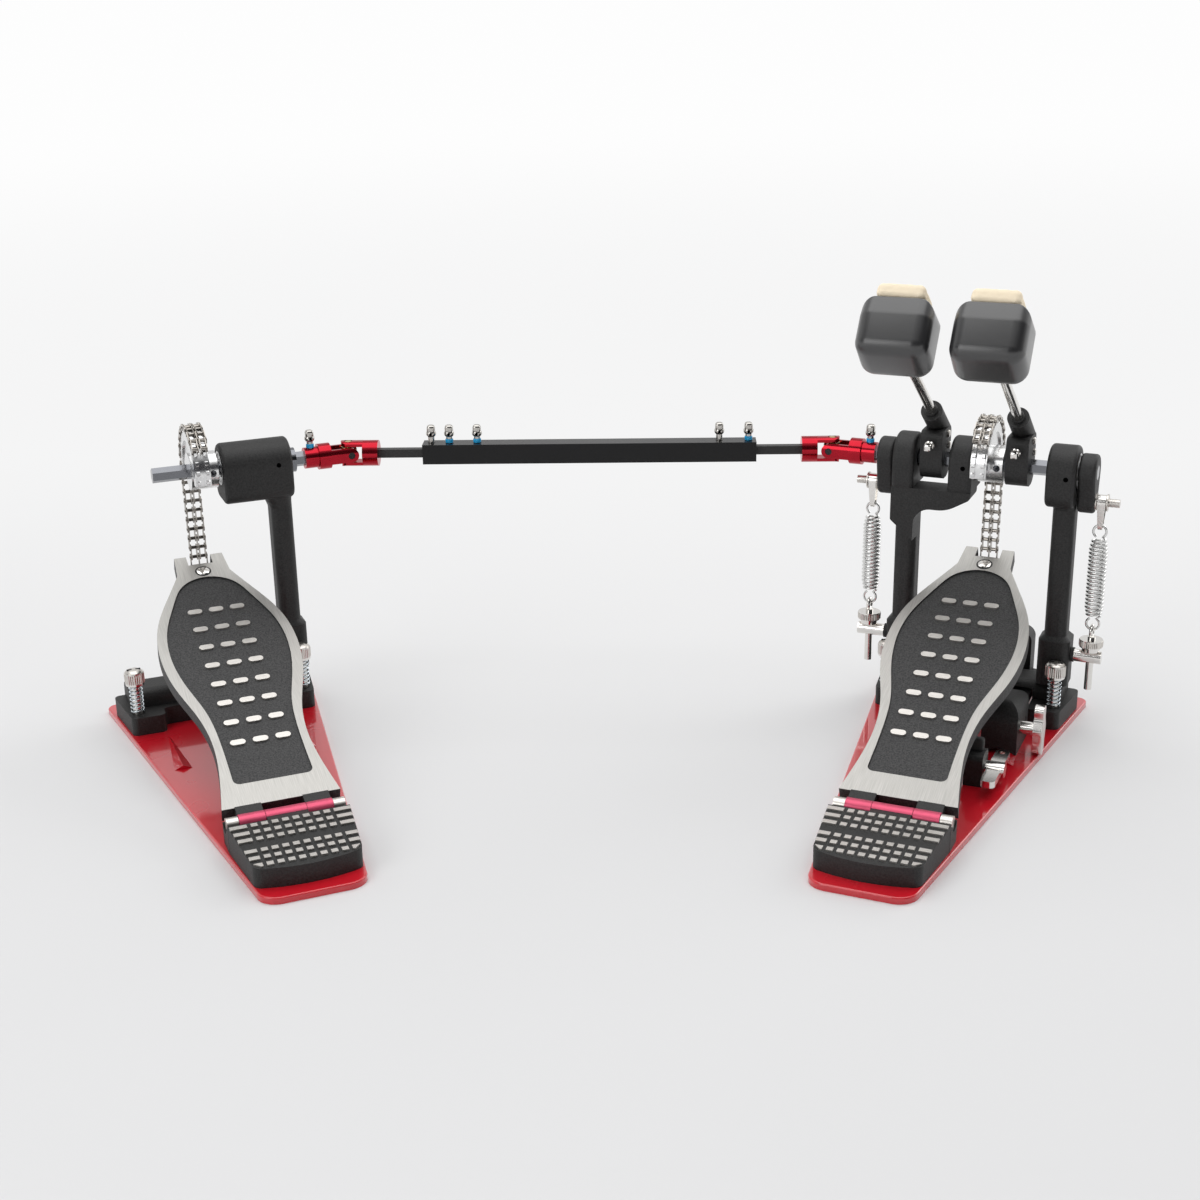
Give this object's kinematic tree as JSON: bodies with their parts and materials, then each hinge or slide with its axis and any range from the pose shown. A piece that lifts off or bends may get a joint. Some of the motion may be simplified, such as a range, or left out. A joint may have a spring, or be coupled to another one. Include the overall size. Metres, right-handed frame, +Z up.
{
  "type": "double bass drum pedal",
  "caption": "Double bass drum pedal: two footboard pedals on red base plates, joined by a telescopic drive shaft, with chain drive, felt beaters and return springs.",
  "frame": {"origin": "centre of the primary base plate's underside, on the floor", "axes": "+X along the drive shaft towards the primary pedal, +Y from the heels towards the drum, +Z up"},
  "size_m": [0.6554, 0.3182, 0.2962],
  "materials": {
    "base_red": "gloss",
    "anodised_red": "satin",
    "hinge_red": "satin",
    "board_silver": "satin",
    "casting_black": "satin",
    "bright_nickel": "gloss",
    "bearing_steel": "satin",
    "spring_steel": "satin",
    "cross_brass": "satin",
    "rod_black": "satin",
    "head_black": "matte",
    "felt_cream": "matte"
  },
  "bodies": {
    "frame": {"primary_base_plate": "base_red", "secondary_base_plate": "base_red", "primary_foot": "casting_black", "secondary_foot": "casting_black", "primary_left_post": "casting_black", "primary_right_post": "casting_black", "secondary_post": "casting_black", "axle_bearings": "bearing_steel", "heel_plates": "casting_black", "hinge_centre_knuckles": "hinge_red", "hinge_pins": "bright_nickel", "spur_springs": "spring_steel", "hoop_clamp_block": "casting_black", "key_clip": "casting_black"},
    "right_drive": {"right_axle": "bright_nickel", "primary_sprocket": "bright_nickel", "primary_chain_wrap": "bright_nickel", "right_beater_hub": "casting_black", "right_rocker": "casting_black"},
    "left_drive": {"left_axle": "bright_nickel", "left_beater_hub": "casting_black", "left_rocker": "casting_black", "primary_axle_yoke": "anodised_red"},
    "right_beater": {"right_beater_shaft": "bright_nickel", "right_beater_head": "head_black", "right_beater_felt": "felt_cream"},
    "left_beater": {"left_beater_shaft": "bright_nickel", "left_beater_head": "head_black", "left_beater_felt": "felt_cream"},
    "primary_board": {"primary_footboard": "board_silver", "primary_hinge_knuckles": "hinge_red"},
    "secondary_board": {"secondary_footboard": "board_silver", "secondary_hinge_knuckles": "hinge_red"},
    "primary_run": {"primary_chain_run": "bright_nickel"},
    "secondary_run": {"secondary_chain_run": "bright_nickel"},
    "primary_cross": {"primary_joint_cross": "cross_brass"},
    "secondary_cross": {"secondary_joint_cross": "cross_brass"},
    "drive_shaft": {"shaft_yokes": "anodised_red", "shaft_rods": "rod_black", "shaft_tube": "rod_black", "shaft_key_screws": "bright_nickel"},
    "secondary_drive": {"secondary_axle": "bright_nickel", "secondary_sprocket": "bright_nickel", "secondary_chain_wrap": "bright_nickel", "secondary_axle_yoke": "anodised_red"},
    "left_swing": {"left_tension_rod": "bright_nickel", "left_swivel_bar": "bright_nickel", "left_return_spring": "spring_steel"},
    "right_swing": {"right_tension_rod": "bright_nickel", "right_swivel_bar": "bright_nickel", "right_return_spring": "spring_steel"},
    "left_clip": {"left_spring_clip": "bright_nickel"},
    "right_clip": {"right_spring_clip": "bright_nickel"},
    "primary_left_spur": {"primary_left_spur": "bright_nickel"},
    "primary_right_spur": {"primary_right_spur": "bright_nickel"},
    "secondary_left_spur": {"secondary_left_spur": "bright_nickel"},
    "secondary_right_spur": {"secondary_right_spur": "bright_nickel"},
    "wing_screw": {"clamp_wing_screw": "bright_nickel"},
    "clamp_jaw": {"hoop_clamp_jaw": "casting_black"},
    "key": {"drum_key": "bright_nickel"}
  },
  "joints": [
    {"name": "right_beater_swing", "type": "hinge", "parent": "frame", "child": "right_drive", "pos_m": [0.04476, 0.1108, 0.168], "axis": [-0.9272, 0.3746, 0], "range_deg": [0, 44], "stiffness_Nm_per_rad": 0.5, "springref_deg": -28.65},
    {"name": "left_beater_swing", "type": "hinge", "parent": "frame", "child": "left_drive", "pos_m": [0.01417, 0.12316, 0.168], "axis": [-0.9272, 0.3746, 0], "range_deg": [0, 44], "stiffness_Nm_per_rad": 0.5, "springref_deg": -28.65},
    {"name": "secondary_axle_turn", "type": "hinge", "parent": "frame", "child": "secondary_drive", "pos_m": [-0.45724, 0.10796, 0.168], "axis": [-0.9135, -0.4067, 0], "range_deg": [0, 43.8]},
    {"name": "primary_board_tilt", "type": "hinge", "parent": "frame", "child": "primary_board", "pos_m": [-0.03165, -0.07835, 0.017], "axis": [-0.9272, 0.3746, 0], "range_deg": [0, 5.3]},
    {"name": "primary_chain_bend", "type": "hinge", "parent": "right_drive", "child": "primary_run", "pos_m": [0.05461, 0.13518, 0.17862], "axis": [-0.9272, 0.3746, 0], "range_deg": [-48.6, 0]},
    {"name": "secondary_board_tilt", "type": "hinge", "parent": "frame", "child": "secondary_board", "pos_m": [-0.37426, -0.0784, 0.017], "axis": [-0.9135, -0.4067, 0], "range_deg": [0, 5.3]},
    {"name": "secondary_chain_bend", "type": "hinge", "parent": "secondary_drive", "child": "secondary_run", "pos_m": [-0.46793, 0.13198, 0.17862], "axis": [-0.9135, -0.4067, 0], "range_deg": [-48.6, 0]},
    {"name": "shaft_turn", "type": "hinge", "parent": "frame", "child": "drive_shaft", "pos_m": [-0.20738, 0.14863, 0.168], "axis": [-1, 0, 0], "range_deg": [0, 46.8]},
    {"name": "primary_cross_tilt", "type": "hinge", "parent": "left_drive", "child": "primary_cross", "pos_m": [-0.04888, 0.14863, 0.168], "axis": [0.3746, 0.9272, 0], "range_deg": [-16.4, 0]},
    {"name": "secondary_cross_tilt", "type": "hinge", "parent": "secondary_drive", "child": "secondary_cross", "pos_m": [-0.36588, 0.14863, 0.168], "axis": [-0.4067, 0.9135, 0], "range_deg": [0, 17.8]},
    {"name": "left_spring_swing", "type": "hinge", "parent": "frame", "child": "left_swing", "pos_m": [-0.02218, 0.13784, 0.047], "axis": [-0.9272, 0.3746, 0], "range_deg": [-7.1, 0]},
    {"name": "left_spring_stretch", "type": "slide", "parent": "left_swing", "child": "left_clip", "axis": [0, 0, 1], "range_m": [0, 0.006], "deforming": ["left_return_spring"]},
    {"name": "right_spring_swing", "type": "hinge", "parent": "frame", "child": "right_swing", "pos_m": [0.11217, 0.08357, 0.047], "axis": [-0.9272, 0.3746, 0], "range_deg": [-7.1, 0]},
    {"name": "right_spring_stretch", "type": "slide", "parent": "right_swing", "child": "right_clip", "axis": [0, 0, 1], "range_m": [0, 0.006], "deforming": ["right_return_spring"]},
    {"name": "left_beater_height", "type": "slide", "parent": "left_drive", "child": "left_beater", "axis": [-0.3106, -0.7687, 0.5592], "range_m": [0, 0.02]},
    {"name": "right_beater_height", "type": "slide", "parent": "right_drive", "child": "right_beater", "axis": [-0.3106, -0.7687, 0.5592], "range_m": [0, 0.02]},
    {"name": "primary_left_spur_turn", "type": "hinge", "parent": "frame", "child": "primary_left_spur", "pos_m": [-0.01213, 0.11545, 0], "axis": [0, 0, 1], "range_deg": [0, 720]},
    {"name": "primary_right_spur_turn", "type": "hinge", "parent": "frame", "child": "primary_right_spur", "pos_m": [0.08893, 0.07462, 0], "axis": [0, 0, 1], "range_deg": [0, 720]},
    {"name": "secondary_left_spur_turn", "type": "hinge", "parent": "frame", "child": "secondary_left_spur", "pos_m": [-0.50011, 0.07026, 0], "axis": [0, 0, 1], "range_deg": [0, 720]},
    {"name": "secondary_right_spur_turn", "type": "hinge", "parent": "frame", "child": "secondary_right_spur", "pos_m": [-0.40053, 0.1146, 0], "axis": [0, 0, 1], "range_deg": [0, 720]},
    {"name": "wing_screw_turn", "type": "hinge", "parent": "frame", "child": "wing_screw", "pos_m": [0.02004, 0.0496, 0.0205], "axis": [0.9272, -0.3746, 0], "range_deg": [0, 720]},
    {"name": "clamp_jaw_close", "type": "hinge", "parent": "frame", "child": "clamp_jaw", "pos_m": [0.02678, 0.06629, 0.017], "axis": [-0.9272, 0.3746, 0], "range_deg": [0, 4.1]},
    {"name": "drum_key_pull", "type": "slide", "parent": "frame", "child": "key", "axis": [0.9272, -0.3746, 0], "range_m": [0, 0.016]}
  ],
  "couplings": [
    {"joint": "secondary_axle_turn", "follows": "left_beater_swing", "ratio": 0.989},
    {"joint": "primary_board_tilt", "follows": "right_beater_swing", "ratio": 0.11739},
    {"joint": "primary_chain_bend", "follows": "right_beater_swing", "ratio": -1.1006},
    {"joint": "secondary_board_tilt", "follows": "left_beater_swing", "ratio": 0.1161},
    {"joint": "secondary_chain_bend", "follows": "left_beater_swing", "ratio": -1.0885},
    {"joint": "shaft_turn", "follows": "left_beater_swing", "ratio": 1.0575},
    {"joint": "primary_cross_tilt", "follows": "left_beater_swing", "ratio": -0.369},
    {"joint": "secondary_cross_tilt", "follows": "left_beater_swing", "ratio": 0.4},
    {"joint": "left_spring_swing", "follows": "left_beater_swing", "ratio": -0.16},
    {"joint": "left_spring_stretch", "follows": "left_beater_swing", "m_per_rad": 0.00775},
    {"joint": "right_spring_swing", "follows": "right_beater_swing", "ratio": -0.16},
    {"joint": "right_spring_stretch", "follows": "right_beater_swing", "m_per_rad": 0.00775},
    {"joint": "clamp_jaw_close", "follows": "wing_screw_turn", "ratio": 0.005556}
  ]
}
